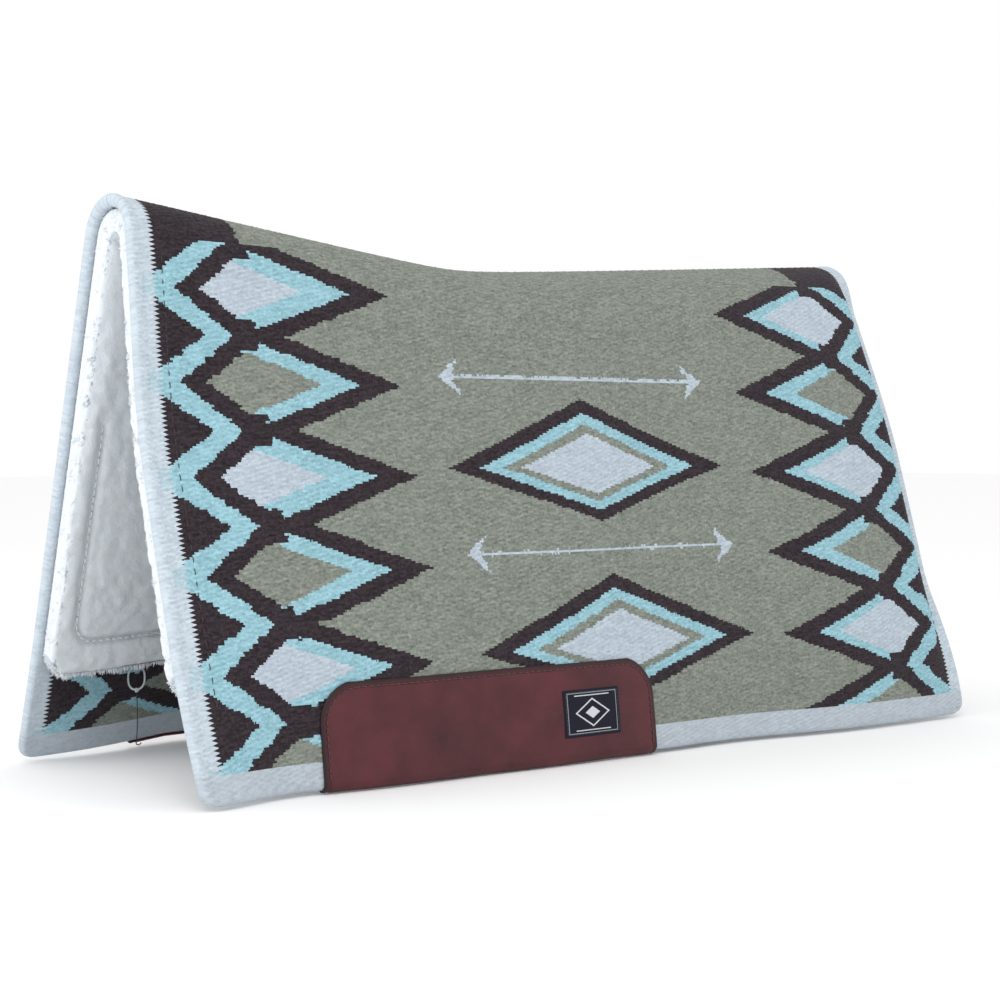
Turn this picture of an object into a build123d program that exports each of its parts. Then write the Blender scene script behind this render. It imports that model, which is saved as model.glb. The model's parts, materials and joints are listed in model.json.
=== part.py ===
"""Contoured western saddle pad, standing like a tent on its two hems.

The pad is two mirrored flanks that meet along a ridge.  From the outside in, each flank is a woven
wool blanket, a felt core and a fleece liner that is wrapped round the edges of the core.  The ridge
is a narrow strip of the same three layers, and a flank swings on each side of it.  The left flank is
modelled, and the right one is its mirror image.

Frame: +X towards the tail, -Y is the horse's left side, +Z up.  The origin lies midway along the pad
and midway between its hems, on the plane that the hems stand on.
"""
from build123d import *
import math
import os

# ---- Driving dimensions, in millimetres and degrees ----
PAD_LENGTH = 838.0  # 33 in, from the front edge to the rear edge
PAD_DROP = 499.0  # from ridge to hem along the outside of the front edge
FLANK_ANGLE = 16.0  # how far each flank leans from vertical
WITHERS_RADIUS = 38.0  # outside radius of the ridge at the front edge
REAR_FLARE = 18.0  # how much further out each hem stands at the rear than at the front

# The ridge runs down from the withers to a rounded dip, then up again to the rear edge
DIP_FROM_FRONT = 338.0
FRONT_SLOPE = 0.130
REAR_SLOPE = 0.069
DIP_ROUNDING = 40.0

# Layers, from the outside in
BLANKET = 8.0
CORE = 10.5
LINER = 10.0
PLY_GAP = 0.4
LINER_INSET = 6.0  # the liner stops this far inside the blanket's front and rear edges
LINER_ABOVE_HEM = 84.0
LINER_CORNER = 18.0
BLANKET_CORNER = 14.0

# Swing of the flanks, about a hinge line on each side of the ridge strip
CLOSE_LIMIT = 10.0
LIMIT_MARGIN = 0.5  # room for a little more swing than the limit
STRIP_HALF_WIDTH = 12.0
HINGE_GAP = 0.5

# Wear leather on each flank, folded under the hem
LEATHER_FROM_FRONT = 110.0
LEATHER_LENGTH = 333.0
LEATHER_HEIGHT = 79.0
LEATHER_CORNER = 34.0
LEATHER = 2.4

# Woven label on the left leather
LABEL_FROM_FRONT = 341.0
LABEL_WIDTH = 60.0
LABEL_HEIGHT = 40.0
LABEL_ABOVE_HEM = 15.0
LABEL_CORNER = 1.0
LABEL = 0.8

# Stitches
STITCH_WIDTH = 1.0
STITCH_RISE = 0.5
STITCH_SHARE = 0.65  # share of the pitch that shows as thread
LEATHER_STITCH_PITCH = 6.0
LEATHER_STITCH_INSET = 5.0
LABEL_STITCH_PITCH = 3.5
LABEL_STITCH_INSET = 1.8
EDGE_STITCH_PITCH = 9.0
EDGE_STITCH_INSET = 26.0
RIDGE_STITCH_PITCH = 10.0
RIDGE_STITCH_REACH = 4.0
RIDGE_STITCH_LIFT = 0.5  # keeps them clear of the ridge where it curves
QUILTING_END_INSET = 18.0  # from the liner's front and rear edges
QUILTING_LOW_INSET = 30.0  # from its lower edge
QUILTING_GROOVE = 3.0
QUILTING_THREAD = 1.6
QUILTING_TOP = 300.0  # height up the flank at which the quilted channel ends

# Hang loop under the liner's lower edge, inside the right flank
LOOP_FROM_FRONT = 97.0
LOOP_BELOW_LINER = 3.0
LOOP_WIDTH = 16.0
LOOP_HEIGHT = 20.0
LOOP_CORNER = 5.0
LOOP_CORD = 1.8
TACK_OUTER = 4.6
TACK_LENGTH = 4.0
KNOT = 3.2
TAIL_LENGTH = 40.0
TAIL_THREAD = 1.0
TAIL_CURL = 5.0

# ---- Sizes that follow from the driving dimensions ----
LEAN = math.radians(FLANK_ANGLE)
FRONT_X = -PAD_LENGTH / 2
REAR_X = PAD_LENGTH / 2
STATIONS = 15  # cross-sections that carry the ridge's contour
SHOULDER_FOOT = 340.0  # below this height a flank is flat all along the pad
OVERRUN = 20.0  # how far a trimming shape runs past what it trims
CLEARANCE = 0.1  # between a stitch or label and the surface that it lies on

CORE_DEPTH = BLANKET + PLY_GAP
LINER_DEPTH = CORE_DEPTH + CORE + PLY_GAP
INNER_DEPTH = LINER_DEPTH + LINER

# A ridge of radius R lies R * ROUNDING_LOSS below the line where the two flank planes would meet,
# and saves R * ROUNDING_SAVING of cloth on each side
ROUNDING_LOSS = 1 / math.sin(LEAN) - 1
ROUNDING_SAVING = 1 / math.tan(LEAN) - (math.pi / 2 - LEAN)
FRONT_APEX = (PAD_DROP + WITHERS_RADIUS * ROUNDING_SAVING) * math.cos(LEAN)
RIDGE_TOP = FRONT_APEX - WITHERS_RADIUS * ROUNDING_LOSS
HEM_SLOPE = REAR_FLARE / PAD_LENGTH
APEX_SLOPE = HEM_SLOPE / math.tan(LEAN)
# The flare makes a layer look this much thicker in a cross-section than square to the flank
SECTION_STRETCH = math.hypot(HEM_SLOPE * math.cos(LEAN), 1)
FAR_OUT = 2 * FRONT_APEX * math.tan(LEAN)  # outside every part of a flank


# ---- Shape of the pad ----
def apex_height(x):
    """Height of the line in which the two outer flank planes would meet."""
    return FRONT_APEX + APEX_SLOPE * (x - FRONT_X)


def contour(x):
    """Two straight slopes that meet in a rounded dip."""
    from_dip = x - (FRONT_X + DIP_FROM_FRONT)
    mean_slope = (REAR_SLOPE + FRONT_SLOPE) / 2
    tilt = (REAR_SLOPE - FRONT_SLOPE) / 2
    return mean_slope * math.hypot(from_dip, DIP_ROUNDING) + tilt * from_dip


def ridge_height(x):
    return RIDGE_TOP + contour(x) - contour(FRONT_X)


def ridge_radius(x):
    """Outside radius of the ridge, so that it is tangent to both flanks."""
    return (apex_height(x) - ridge_height(x)) / ROUNDING_LOSS


def profile(x, depth):
    """Top, middle and end of the rounded ridge, and the foot of the left shoulder, at a depth."""
    radius = ridge_radius(x) - depth * SECTION_STRETCH
    centre = ridge_height(x) - ridge_radius(x)

    def on_arc(angle):
        return Vector(x, -radius * math.cos(angle), centre + radius * math.sin(angle))

    tangent = on_arc(LEAN)
    run = (tangent.Z - SHOULDER_FOOT) * math.tan(LEAN)
    foot = Vector(x, tangent.Y - run, SHOULDER_FOOT)
    return on_arc(math.pi / 2), on_arc((math.pi / 2 + LEAN) / 2), tangent, foot


def section(x, outer_depth, inner_depth):
    """Cross-section of a layer of the left shoulder, from the ridge to the flat of the flank."""
    outer_top, outer_middle, outer_tangent, outer_foot = profile(x, outer_depth)
    inner_top, inner_middle, inner_tangent, inner_foot = profile(x, inner_depth)
    edges = [
        ThreePointArc(outer_top, outer_middle, outer_tangent),
        Line(outer_tangent, outer_foot),
        Line(outer_foot, inner_foot),
        Line(inner_foot, inner_tangent),
        ThreePointArc(inner_tangent, inner_middle, inner_top),
        Line(inner_top, outer_top),
    ]
    return Face(Wire(edges))


def layer(outer_depth, inner_depth):
    """Left half of a layer, between two depths below the pad's outer surface."""
    places = [FRONT_X + PAD_LENGTH * i / (STATIONS - 1) for i in range(STATIONS)]
    shoulder = loft([section(x, outer_depth, inner_depth) for x in places])
    sheet = Rectangle(2 * PAD_LENGTH, 2 * PAD_DROP)
    flat = extrude(flank_plane(inner_depth) * sheet, inner_depth - outer_depth)
    return shoulder + (flat & above_hem_plane(SHOULDER_FOOT) & between_ends())


def flank_plane(depth=0.0):
    """Left flank's own plane: x along the hem, y up the flank and z out of the pad."""
    outward = Vector(-HEM_SLOPE, -1, math.tan(LEAN)).normalized()
    middle = Vector(0, -apex_height(0) * math.tan(LEAN), 0)
    return Plane(origin=middle - outward * depth, x_dir=(1, -HEM_SLOPE, 0), z_dir=outward)


def rounded_panel(width, bottom, top, corner, rounded_end):
    """Outline on the flank plane, centred along the hem, with two rounded corners at one end."""
    panel = Pos(0, (bottom + top) / 2) * Rectangle(width, top - bottom)
    return fillet(panel.vertices().group_by(Axis.Y)[rounded_end], corner)


def flank_outline(inset, above_hem, corner):
    """Block through the left flank with a layer's outline, running up past the ridge."""
    top = PAD_DROP + WITHERS_RADIUS + OVERRUN
    outline = rounded_panel(PAD_LENGTH - 2 * inset, above_hem, top, corner, 0)
    return extrude(flank_plane() * outline, 3 * WITHERS_RADIUS, both=True)


def prism_along_pad(*points):
    """Block along the whole pad; each point is (distance to the left of the middle, height)."""
    outline = Polygon(*[(-out, height) for out, height in points], align=None)
    start = Plane(origin=(FRONT_X - OVERRUN, 0, 0), x_dir=(0, 1, 0), z_dir=(1, 0, 0))
    return extrude(start * outline, PAD_LENGTH + 2 * OVERRUN, dir=(1, 0, 0))


def above_hem_plane(height):
    """Space to the left of the middle, from the plane that the hems stand on up to a height."""
    return prism_along_pad((0, 0), (FAR_OUT, 0), (FAR_OUT, height), (0, height))


def between_ends():
    """Space between the pad's front and rear edges."""
    return Pos(0, -FAR_OUT / 2, RIDGE_TOP / 2) * Box(PAD_LENGTH, FAR_OUT, 2 * RIDGE_TOP)


def swinging_space():
    """Space of everything that swings with the left flank.

    Its edge slants away below the hinge line, so that the flank can swing inwards to its limit.
    """
    hinge = STRIP_HALF_WIDTH + HINGE_GAP
    top = RIDGE_TOP + OVERRUN
    slanted = hinge + RIDGE_TOP * math.tan(math.radians(CLOSE_LIMIT + LIMIT_MARGIN))
    return prism_along_pad((hinge, RIDGE_TOP), (hinge, top), (FAR_OUT, top), (FAR_OUT, 0), (slanted, 0))


def strip_space():
    """Space of the left half of the ridge strip."""
    top = RIDGE_TOP + OVERRUN
    return prism_along_pad((0, 0), (STRIP_HALF_WIDTH, 0), (STRIP_HALF_WIDTH, top), (0, top))


# ---- Layers ----
def blanket():
    return layer(0, BLANKET)


def core():
    inset = LINER_INSET + LINER + PLY_GAP
    low = LINER_ABOVE_HEM + LINER + PLY_GAP
    sheet = layer(CORE_DEPTH, CORE_DEPTH + CORE)
    return sheet & flank_outline(inset, low, LINER_CORNER - LINER)


def liner():
    """Fleece with the core's room cut out of it, so that it wraps round the core's edges."""
    inset = LINER_INSET + LINER
    low = LINER_ABOVE_HEM + LINER
    room = layer(BLANKET, LINER_DEPTH) & flank_outline(inset, low, LINER_CORNER - LINER)
    sheet = layer(CORE_DEPTH, INNER_DEPTH)
    return (sheet & flank_outline(LINER_INSET, LINER_ABOVE_HEM, LINER_CORNER)) - room


def flank_blanket():
    """Blanket of the flank, with its hem pressed shorter inside the folded leather."""
    cloth = blanket() & swinging_space() & flank_outline(0, -OVERRUN / 2, BLANKET_CORNER)
    return cloth - leather_hem(LEATHER + PLY_GAP, PLY_GAP)


def flank_liner():
    depth = INNER_DEPTH - QUILTING_GROOVE
    return (liner() & swinging_space()) - quilting_band(depth, QUILTING_GROOVE + PLY_GAP, QUILTING_GROOVE)


def both_sides(left_half):
    return left_half + mirror(left_half, about=Plane.XZ)


# ---- Leather and label ----
def leather_middle(height=0.0):
    return Pos(FRONT_X + LEATHER_FROM_FRONT + LEATHER_LENGTH / 2, height)


def leather_hem(height, clearance):
    """The bottom of the leather's stretch of hem, up to a height."""
    strip = leather_middle() * Rectangle(LEATHER_LENGTH + 2 * clearance, 2 * OVERRUN)
    through = extrude(flank_plane(BLANKET) * strip, BLANKET + PLY_GAP + LEATHER)
    return through & above_hem_plane(height)


def wear_leather():
    """Panel on the blanket, folded under the hem as far as the blanket's inner face, in one piece."""
    panel = rounded_panel(LEATHER_LENGTH, -OVERRUN, LEATHER_HEIGHT, LEATHER_CORNER, -1)
    front = extrude(flank_plane(-PLY_GAP) * leather_middle() * panel, LEATHER)
    return (front & above_hem_plane(RIDGE_TOP)) + leather_hem(LEATHER, 0)


def label_middle():
    along = FRONT_X + LABEL_FROM_FRONT + LABEL_WIDTH / 2
    return Pos(along, LABEL_ABOVE_HEM + LABEL_HEIGHT / 2)


def label():
    patch = label_middle() * RectangleRounded(LABEL_WIDTH, LABEL_HEIGHT, LABEL_CORNER)
    return extrude(flank_plane(-PLY_GAP - LEATHER - CLEARANCE) * patch, LABEL)


# ---- Stitches ----
def stitch_row(path, pitch, height):
    """Separate stitches along a path on the left flank plane, at a height above its surface."""
    count = round(path.length / pitch)
    row = []
    for i in range(count):
        share = (i + 0.5) / count
        place = path.position_at(share)
        stitch = SlotOverall(pitch * STITCH_SHARE, STITCH_WIDTH, rotation=path.tangent_angle_at(share))
        row.append(extrude(flank_plane(-height - CLEARANCE) * Pos(place.X, place.Y) * stitch, STITCH_RISE))
    return row


def leather_stitches():
    """One row just inside the leather's edge, up the front, along the top and down the rear."""
    side = LEATHER_LENGTH / 2 - LEATHER_STITCH_INSET
    top = LEATHER_HEIGHT - LEATHER_STITCH_INSET
    low = LEATHER_STITCH_INSET
    corner = LEATHER_CORNER - LEATHER_STITCH_INSET
    path = FilletPolyline((-side, low), (-side, top), (side, top), (side, low), radius=corner)
    return stitch_row(leather_middle() * path, LEATHER_STITCH_PITCH, PLY_GAP + LEATHER)


def label_stitches():
    side = LABEL_WIDTH / 2 - LABEL_STITCH_INSET
    end = LABEL_HEIGHT / 2 - LABEL_STITCH_INSET
    height = PLY_GAP + LEATHER + CLEARANCE + LABEL
    row = []
    for start, stop in (((-side, -end), (side, -end)), ((side, -end), (side, end))):
        for turn in (0, 180):
            edge = label_middle() * Rot(0, 0, turn) * Line(start, stop)
            row += stitch_row(edge, LABEL_STITCH_PITCH, height)
    return row


def edge_stitches():
    """A row beside the front edge and one beside the rear edge, holding the layers together."""
    row = []
    for side in (-1, 1):
        along = side * (REAR_X - EDGE_STITCH_INSET)
        row += stitch_row(Line((along, LINER_ABOVE_HEM), (along, QUILTING_TOP)), EDGE_STITCH_PITCH, 0)
    return row


def ridge_stitches():
    """Stitches across the seam that joins the two halves of the blanket along the ridge."""
    count = round(PAD_LENGTH / RIDGE_STITCH_PITCH)
    row = []
    for i in range(count):
        x = FRONT_X + (i + 0.5) * PAD_LENGTH / count
        height = ridge_height(x) + RIDGE_STITCH_LIFT + STITCH_RISE / 2
        row.append(Pos(x, 0, height) * Box(STITCH_WIDTH, 2 * RIDGE_STITCH_REACH, STITCH_RISE))
    return row


def quilting_band(depth, thickness, width):
    """Band round the front, bottom and rear of the flank, running inwards from a depth."""
    side = REAR_X - LINER_INSET - QUILTING_END_INSET
    low = LINER_ABOVE_HEM + QUILTING_LOW_INSET
    corners = [(-side, QUILTING_TOP), (-side, low), (side, low), (side, QUILTING_TOP)]
    path = FilletPolyline(*corners, radius=LINER_CORNER)
    return extrude(flank_plane(depth) * trace(path, width), -thickness)


def quilting_thread():
    """Thread that lies in the liner's sewn channel."""
    depth = INNER_DEPTH - QUILTING_GROOVE + PLY_GAP
    return quilting_band(depth, QUILTING_THREAD, QUILTING_THREAD)


# ---- Hang loop, drawn inside the left flank and then mirrored to the right one ----
def loop_plane():
    """Upright plane along the hem, through the loop's pivot, with y pointing up."""
    depth = BLANKET + PLY_GAP + TACK_OUTER / 2
    along = FRONT_X + LOOP_FROM_FRONT
    pivot = flank_plane(depth).from_local_coords(Vector(along, LINER_ABOVE_HEM - LOOP_BELOW_LINER, 0))
    return Plane(origin=pivot, x_dir=(1, -HEM_SLOPE, 0), z_dir=(-HEM_SLOPE, -1, 0))


def loop_tack():
    """Thread sleeve that holds the top of the loop and lets it swing."""
    hole = LOOP_CORD + PLY_GAP
    ring = Circle(TACK_OUTER / 2) - Circle(hole / 2)
    along_hem = Plane(origin=(0, 0, 0), x_dir=(0, 1, 0), z_dir=(1, 0, 0))
    return loop_plane() * extrude(along_hem * ring, TACK_LENGTH / 2, both=True)


def loop_cord():
    half = LOOP_WIDTH / 2
    corners = [(-half, 0), (half, 0), (half, -LOOP_HEIGHT), (-half, -LOOP_HEIGHT)]
    path = FilletPolyline(*corners, radius=LOOP_CORNER, close=True)
    start = Plane(origin=(0, 0, 0), x_dir=(0, 1, 0), z_dir=(1, 0, 0))
    return loop_plane() * sweep(start * Circle(LOOP_CORD / 2), path=path)


def loop_tail():
    """Knot under the loop and a thin tail that ends in a small curl."""
    knot_height = -LOOP_HEIGHT - LOOP_CORD / 2 - CLEARANCE - KNOT / 2
    end = knot_height - TAIL_LENGTH
    straight = Line((0, knot_height), (0, end))
    curl = RadiusArc((0, end), (TAIL_CURL, end - TAIL_CURL), -TAIL_CURL)
    start = Plane(origin=(0, knot_height, 0), x_dir=(1, 0, 0), z_dir=(0, -1, 0))
    tail = sweep(start * Circle(TAIL_THREAD / 2), path=straight + curl)
    return loop_plane() * (tail + Pos(0, knot_height) * Sphere(KNOT / 2))


# ---- Nodes ----
LEFT_FLANK = {
    "blanket": flank_blanket,
    "core": lambda: core() & swinging_space(),
    "liner": flank_liner,
    "quilting_thread": quilting_thread,
    "edge_stitches": edge_stitches,
    "wear_leather": wear_leather,
    "leather_stitches": leather_stitches,
}
LEFT_ONLY = {"label": label, "label_stitches": label_stitches}
RIGHT_ONLY = {"loop_tack": loop_tack, "loop_cord": loop_cord, "loop_tail": loop_tail}
RIDGE = {
    "ridge_blanket": lambda: both_sides(blanket() & strip_space()),
    "ridge_core": lambda: both_sides(core() & strip_space()),
    "ridge_liner": lambda: both_sides(liner() & strip_space()),
    "ridge_stitches": ridge_stitches,
}


def save(name, shape):
    solids = Compound(children=shape) if isinstance(shape, list) else shape
    solids.label = name
    export_step(solids, f"parts/{name}.step")


def flipped(shape):
    if isinstance(shape, list):
        return [mirror(piece, about=Plane.XZ) for piece in shape]
    return mirror(shape, about=Plane.XZ)


os.makedirs("parts", exist_ok=True)
for name, make in RIDGE.items():
    save(name, make())
for name, make in LEFT_FLANK.items():
    piece = make()
    save(f"right_{name}", flipped(piece))
    save(f"left_{name}", piece)
for name, make in LEFT_ONLY.items():
    save(name, make())
for name, make in RIGHT_ONLY.items():
    save(name, flipped(make()))
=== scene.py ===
"""Looks of the contoured western saddle pad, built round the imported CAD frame.

Every soft layer is drawn on one description of the pad's surface: a place is given by its distance
along the pad (x), its distance up the cloth from the hem (rise) and its depth below the outside.
Lengths are in metres.  Shapes are drawn for the left flank (-Y) and mirrored for the right one.
"""
import bpy
import json
import math
import numpy as np
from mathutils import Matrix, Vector, noise


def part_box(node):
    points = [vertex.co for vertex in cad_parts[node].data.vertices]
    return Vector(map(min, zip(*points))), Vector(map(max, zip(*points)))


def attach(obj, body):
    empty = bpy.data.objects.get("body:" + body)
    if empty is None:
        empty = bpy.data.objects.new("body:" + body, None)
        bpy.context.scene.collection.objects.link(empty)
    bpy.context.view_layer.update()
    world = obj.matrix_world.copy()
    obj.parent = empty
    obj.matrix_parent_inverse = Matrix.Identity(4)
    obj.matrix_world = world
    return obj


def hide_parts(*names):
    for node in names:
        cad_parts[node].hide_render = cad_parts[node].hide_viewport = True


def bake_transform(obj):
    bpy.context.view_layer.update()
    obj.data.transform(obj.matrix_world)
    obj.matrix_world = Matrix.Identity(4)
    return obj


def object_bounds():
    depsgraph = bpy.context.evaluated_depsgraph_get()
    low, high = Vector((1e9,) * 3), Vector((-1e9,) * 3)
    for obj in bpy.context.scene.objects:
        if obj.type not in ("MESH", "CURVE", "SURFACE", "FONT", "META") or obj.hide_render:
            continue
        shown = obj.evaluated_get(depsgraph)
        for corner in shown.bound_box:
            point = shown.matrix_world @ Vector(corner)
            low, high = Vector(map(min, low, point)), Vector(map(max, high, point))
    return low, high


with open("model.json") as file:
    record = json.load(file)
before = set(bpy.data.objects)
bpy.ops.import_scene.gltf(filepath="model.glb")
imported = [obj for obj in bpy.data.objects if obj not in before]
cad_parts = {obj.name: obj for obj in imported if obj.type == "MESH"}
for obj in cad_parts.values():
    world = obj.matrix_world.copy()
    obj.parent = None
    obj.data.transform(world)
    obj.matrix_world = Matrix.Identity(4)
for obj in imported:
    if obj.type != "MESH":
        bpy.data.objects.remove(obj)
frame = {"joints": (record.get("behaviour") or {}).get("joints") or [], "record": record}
cad_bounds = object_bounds()

MM = 0.001
LEFT = -1
RIGHT = 1
SEED = 7


# ---- The pad's surface, from the frame ----
def named(items, name):
    return next(item for item in items if item["name"] == name)


LOOP_SWING = named(frame["joints"], "hang_loop_swing")
FRONT_X = cad_bounds[0][0]
REAR_X = cad_bounds[1][0]
MIDDLE_X = (FRONT_X + REAR_X) / 2
LENGTH = REAR_X - FRONT_X
REAR_HEM = -cad_bounds[0][1]
RIDGE_TOP = named(frame["joints"], "left_flank_swing")["pos_m"][2]

# The liner's face is parallel to its flank, so its normal gives the flank's lean and flare
INWARD = named(frame["record"]["mounts"], "left_liner_face")["axis"]
LEAN = math.atan(-INWARD[2] / INWARD[1])
HEM_SLOPE = INWARD[0] / INWARD[1]
ROUNDING_LOSS = 1 / math.sin(LEAN) - 1

# Contour of the ridge, as in the CAD model
DIP_X = FRONT_X + 338 * MM
DIP_ROUNDING = 40 * MM
FRONT_SLOPE = 0.130
REAR_SLOPE = 0.069

# Layers, as depths below the outside of the blanket
BLANKET = 8 * MM
LINER_DEPTH = 8.4 * MM
INNER_DEPTH = 29.3 * MM


def apex_height(x):
    """Height of the line in which the two outer flank planes would meet."""
    return (REAR_HEM + HEM_SLOPE * (x - REAR_X)) / math.tan(LEAN)


def contour(x):
    mean_slope = (REAR_SLOPE + FRONT_SLOPE) / 2
    tilt = (REAR_SLOPE - FRONT_SLOPE) / 2
    return mean_slope * np.hypot(x - DIP_X, DIP_ROUNDING) + tilt * (x - DIP_X)


def ridge_height(x):
    return RIDGE_TOP + contour(x) - contour(FRONT_X)


def ridge_radius(x):
    return (apex_height(x) - ridge_height(x)) / ROUNDING_LOSS


def flat_rise(x):
    """How far up the cloth the flank is flat, before it rounds over the ridge."""
    return apex_height(x) / math.cos(LEAN) - ridge_radius(x) / math.tan(LEAN)


def ridge_rise(x):
    return flat_rise(x) + ridge_radius(x) * (math.pi / 2 - LEAN)


def smooth(t):
    t = np.clip(t, 0, 1)
    return t * t * (3 - 2 * t)


def hump(value, centre, width):
    return np.exp(-(((value - centre) / width) ** 2))


# How the cloth hangs: outward shifts of each flank away from its ideal plane
FRONT_TUCK = 32 * MM  # the left flank hangs in towards its front edge
TUCK_REACH = 485 * MM
REAR_SWELL = 23 * MM  # and bows out behind that
SWELL_REACH = 250 * MM
HEM_TUCK = 15 * MM
HEM_REACH = 107 * MM
CORNER_FLARE = 27 * MM  # the front corner turns back out
CORNER_REACH = 60 * MM
CURL_REACH = 45 * MM  # the rear edge rolls in
CURL_TURN = math.radians(54)
CURL_START = 19 * MM
SLACK_AT_HEM = 150 * MM
SLACK_AT_RIDGE = 90 * MM
LIP = 19 * MM  # and its pale border turns back out
LIP_TURN = math.radians(48)
SHARE_ON_RIGHT = 0.3  # the right flank hangs straighter
RIGHT_TURN = 20 * MM  # but swings out a little way behind its front edge
RIGHT_TURN_REACH = 150 * MM
HANG_TOP = 500 * MM  # all of this dies away up towards the ridge
HANG_FADE = 240 * MM
WAVE = 1.3 * MM
SHOULDER = 45 * MM  # the rounding over the ridge holds its shape


def hang(x, rise, side):
    """Outward shift of the cloth from its ideal plane."""
    from_front = x - FRONT_X
    below_ridge = smooth((HANG_TOP - rise) / HANG_FADE)
    from_hem = np.clip(1 - rise / HEM_REACH, 0, 1) ** 1.4
    tuck = -FRONT_TUCK * np.clip(1 - from_front / TUCK_REACH, 0, 1) ** 2.8
    swell = REAR_SWELL * smooth((from_front - TUCK_REACH) / SWELL_REACH)
    corner = CORNER_FLARE * hump(from_front, 0, CORNER_REACH)
    waves = WAVE * (np.sin(x * 23 + 1.3 + rise * 4) + 0.6 * np.sin(x * 41 - rise * 13 + side))
    shift = tuck * (side == LEFT) + swell + waves
    shift = shift * below_ridge + (corner - HEM_TUCK) * from_hem
    return shift if side == LEFT else shift * SHARE_ON_RIGHT


def swing_out(x, rise, side):
    """Outward swing of the right flank behind its front edge; it dies away towards the rear."""
    from_front = x - FRONT_X
    grown = np.clip(from_front / RIGHT_TURN_REACH, 0, 1) ** 1.5
    fading = 1 - smooth((from_front - 2 * RIGHT_TURN_REACH) / (3 * RIGHT_TURN_REACH))
    return (side == RIGHT) * RIGHT_TURN * grown * fading * np.clip(1 - rise / RIDGE_TOP, 0, 1)


def roll_profile():
    """How far the rolled rear edge goes in, and back to the front, along its last stretch of cloth."""
    reach = np.linspace(0, CURL_REACH, 90)
    turned_in = CURL_TURN * smooth(reach / CURL_START)
    turn = turned_in - LIP_TURN * smooth((reach - CURL_REACH + LIP) / (LIP / 2))
    step = reach[1]
    return reach, np.cumsum(np.sin(turn)) * step, np.cumsum(1 - np.cos(turn)) * step


ROLL_REACH, ROLL_IN, ROLL_BACK = roll_profile()


def rear_roll(x, rise, side):
    """The roll at one place: slack at the hem and on the ridge."""
    reach = np.clip(x - (REAR_X - CURL_REACH), 0, None)
    tightness = smooth(rise / SLACK_AT_HEM) * smooth((ridge_rise(x) - rise) / SLACK_AT_RIDGE)
    if side == RIGHT:
        tightness = tightness * SHARE_ON_RIGHT
    roll_in = np.interp(reach, ROLL_REACH, ROLL_IN) * tightness
    return roll_in, np.interp(reach, ROLL_REACH, ROLL_BACK) * tightness ** 2


def place(x, rise, depth, side):
    """Point of the hanging cloth, for arrays of any one shape."""
    x, rise, depth = np.broadcast_arrays(x, rise, depth)
    radius = ridge_radius(x)
    flat = flat_rise(x)
    bent = LEAN + np.clip(rise - flat, 0, None) / radius
    out = (radius - depth) * np.cos(bent)
    up = ridge_height(x) - radius + (radius - depth) * np.sin(bent)
    below = np.clip(flat - rise, 0, None)
    shoulder = smooth(radius * np.cos(bent) / SHOULDER)
    roll_in, roll_back = rear_roll(x, rise, side)
    swung = swing_out(x, rise, side) * shoulder
    out = out + below * math.sin(LEAN) + hang(x, rise, side) * shoulder + swung - roll_in
    up = up - below * math.cos(LEAN) + swung * math.tan(LEAN)
    return np.stack([x - roll_back, side * out, up], axis=-1)


# ---- Meshes ----
def unit(vectors):
    return vectors / np.linalg.norm(vectors, axis=-1, keepdims=True)


def grid_faces(columns, rows, first=0):
    """Quads of a grid whose points run up each column in turn."""
    faces = []
    for column in range(columns - 1):
        for row in range(rows - 1):
            corner = first + column * rows + row
            faces.append((corner, corner + rows, corner + rows + 1, corner + 1))
    return faces


def zip_loops(outer, inner):
    """Triangles between two closed loops of points, each given as (index, share of the way round)."""
    faces = []
    i = 0
    j = 0
    while i < len(outer) or j < len(inner):
        here = outer[i % len(outer)][0]
        there = inner[j % len(inner)][0]
        next_out = outer[i + 1][1] if i + 1 < len(outer) else 1.0
        next_in = inner[j + 1][1] if j + 1 < len(inner) else 1.0
        if j >= len(inner) or (i < len(outer) and next_out <= next_in):
            faces.append((here, outer[(i + 1) % len(outer)][0], there))
            i += 1
        else:
            faces.append((here, inner[(j + 1) % len(inner)][0], there))
            j += 1
    return faces


def grid_rim(columns, rows, first=0):
    """Indices once round the edge of a grid: up the front, back along the top, down the rear."""
    front = [first + row for row in range(rows)]
    top = [first + column * rows + rows - 1 for column in range(1, columns)]
    rear = [first + (columns - 1) * rows + row for row in range(rows - 2, -1, -1)]
    hem = [first + column * rows for column in range(columns - 2, 0, -1)]
    return front + top + rear + hem


def new_object(name, data):
    thing = bpy.data.objects.new(name, data)
    bpy.context.scene.collection.objects.link(thing)
    return thing


def new_mesh(name, points, faces):
    mesh = bpy.data.meshes.new(name)
    mesh.from_pydata([tuple(p) for p in points], [], faces)
    return mesh


def finish_surface(piece, finish):
    """Smooth surface with the material of a finish, which is a material and the record's slot for it; the
    slot is not used.
    """
    material, slot_name = finish
    mesh = piece.data
    mesh.polygons.foreach_set("use_smooth", [True] * len(mesh.polygons))
    mesh.materials.clear()
    mesh.materials.append(material)


def mesh_object(name, points, faces, finish, turned=False):
    """Object from points and faces, which are turned round if they were drawn mirrored."""
    if turned:
        faces = [tuple(reversed(face)) for face in faces]
    piece = new_object(name, new_mesh(name, points, faces))
    finish_surface(piece, finish)
    piece.data.update()
    return piece


def store(piece, triples):
    """Keeps three numbers for every point, for the materials to read."""
    attribute = piece.data.attributes.new("cloth", "FLOAT_VECTOR", "POINT")
    attribute.data.foreach_set("vector", np.asarray(triples, dtype=np.float32).ravel())


def side_name(side):
    return "left" if side == LEFT else "right"


def flank(side):
    return side_name(side) + "_flank"


BEND_START = 70 * MM  # below the top of the ridge, where the bend would start; no piece is bent
BEND_REACH = 60 * MM
BEND_DROP = 20 * MM


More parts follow.
